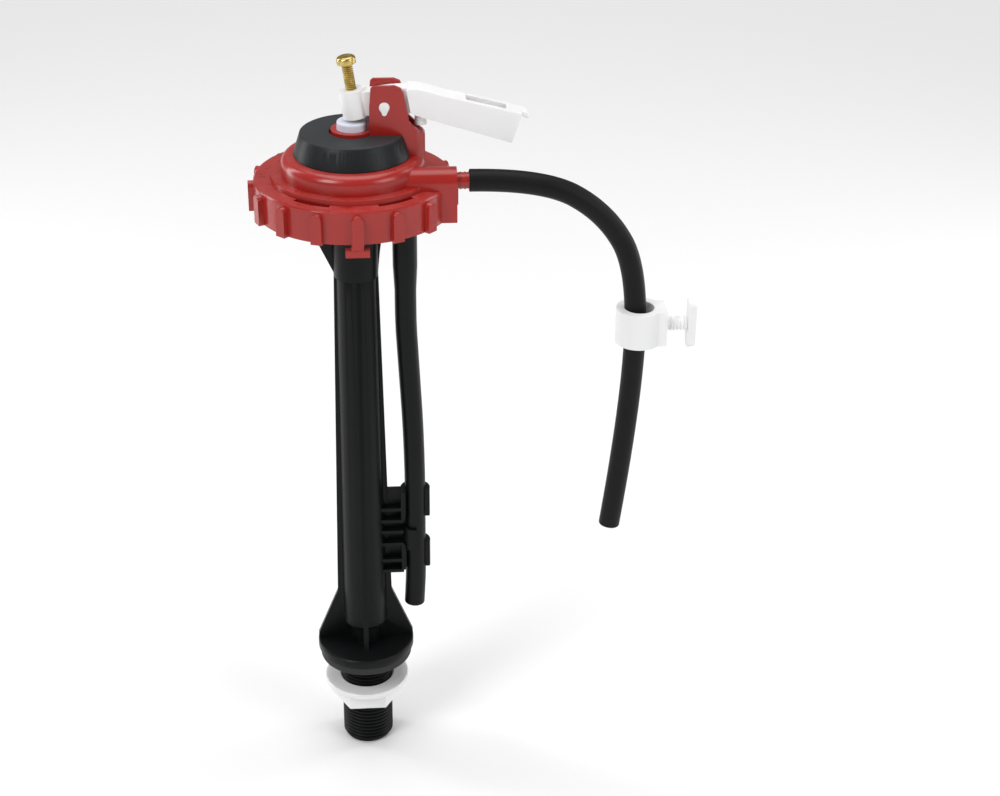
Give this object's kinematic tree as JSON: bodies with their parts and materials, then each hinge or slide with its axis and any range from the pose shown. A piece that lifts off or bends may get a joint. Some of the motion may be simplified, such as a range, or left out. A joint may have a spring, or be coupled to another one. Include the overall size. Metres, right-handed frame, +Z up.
{
  "type": "float valve",
  "caption": "Diaphragm float valve for a toilet cistern: threaded shank, finned riser, ribbed bayonet cap with lever clevis, hush tube and refill tube with clamp.",
  "frame": {"origin": "on the shank's axis, in the underside of the shank washer, which rests on the tank floor", "axes": "+Z up along the riser; +X towards the float lever, the hush tube and the refill nipple; -Y is the front"},
  "size_m": [0.1773, 0.0822, 0.3183],
  "materials": {
    "black_plastic": "satin moulded",
    "black_tube": "extruded flexible",
    "black_rubber": "matte",
    "red_plastic": "satin moulded",
    "white_plastic": "satin moulded",
    "natural_plastic": "moulded",
    "brass": "machined"
  },
  "bodies": {
    "valve": {"riser": "black_plastic", "valve_bowl": "black_plastic", "shank_washer": "black_rubber", "inlet_strainer": "natural_plastic", "valve_seat": "natural_plastic", "diaphragm": "black_rubber", "hush_tube": "black_plastic"},
    "cap": {"cap": "red_plastic", "splash_cover": "black_plastic", "vent_flap": "black_rubber", "lever_pin": "white_plastic", "refill_tube": "black_tube"},
    "plunger": {"plunger": "white_plastic", "plunger_o_ring": "black_rubber", "diaphragm_insert": "natural_plastic"},
    "lever": {"lever": "white_plastic"},
    "adjusting_screw": {"adjusting_screw": "brass"},
    "lock_nut": {"lock_nut": "white_plastic"},
    "refill_clamp": {"refill_clamp": "white_plastic"},
    "thumb_screw": {"thumb_screw": "white_plastic"}
  },
  "joints": [
    {"name": "cap_twist", "type": "hinge", "parent": "valve", "child": "cap", "pos_m": [0, 0, 0.213], "axis": [0, 0, 1], "range_deg": [0, 22.5]},
    {"name": "lever_hinge", "type": "hinge", "parent": "cap", "child": "lever", "pos_m": [0.0125, 0, 0.2551], "axis": [0, 1, 0], "range_deg": [-11, 8]},
    {"name": "plunger_slide", "type": "slide", "parent": "cap", "child": "plunger", "axis": [0, 0, 1], "range_m": [-0.0028, 0.0021], "deforming": ["diaphragm"]},
    {"name": "screw_turn", "type": "hinge", "parent": "lever", "child": "adjusting_screw", "pos_m": [0.0001, 0, 0.2609], "axis": [-0.1392, 0, 0.9903], "continuous": true},
    {"name": "nut_travel", "type": "slide", "parent": "valve", "child": "lock_nut", "axis": [0, 0, 1], "range_m": [-0.033, 0.009]},
    {"name": "clamp_slide", "type": "slide", "parent": "cap", "child": "refill_clamp", "axis": [0, 0, 1], "range_m": [-0.011, 0]},
    {"name": "thumb_turn", "type": "hinge", "parent": "refill_clamp", "child": "thumb_screw", "pos_m": [0.13, -0.014, 0.165], "axis": [1, 0, 0], "continuous": true}
  ],
  "couplings": [
    {"joint": "plunger_slide", "follows": "lever_hinge", "m_per_rad": 0.014}
  ]
}
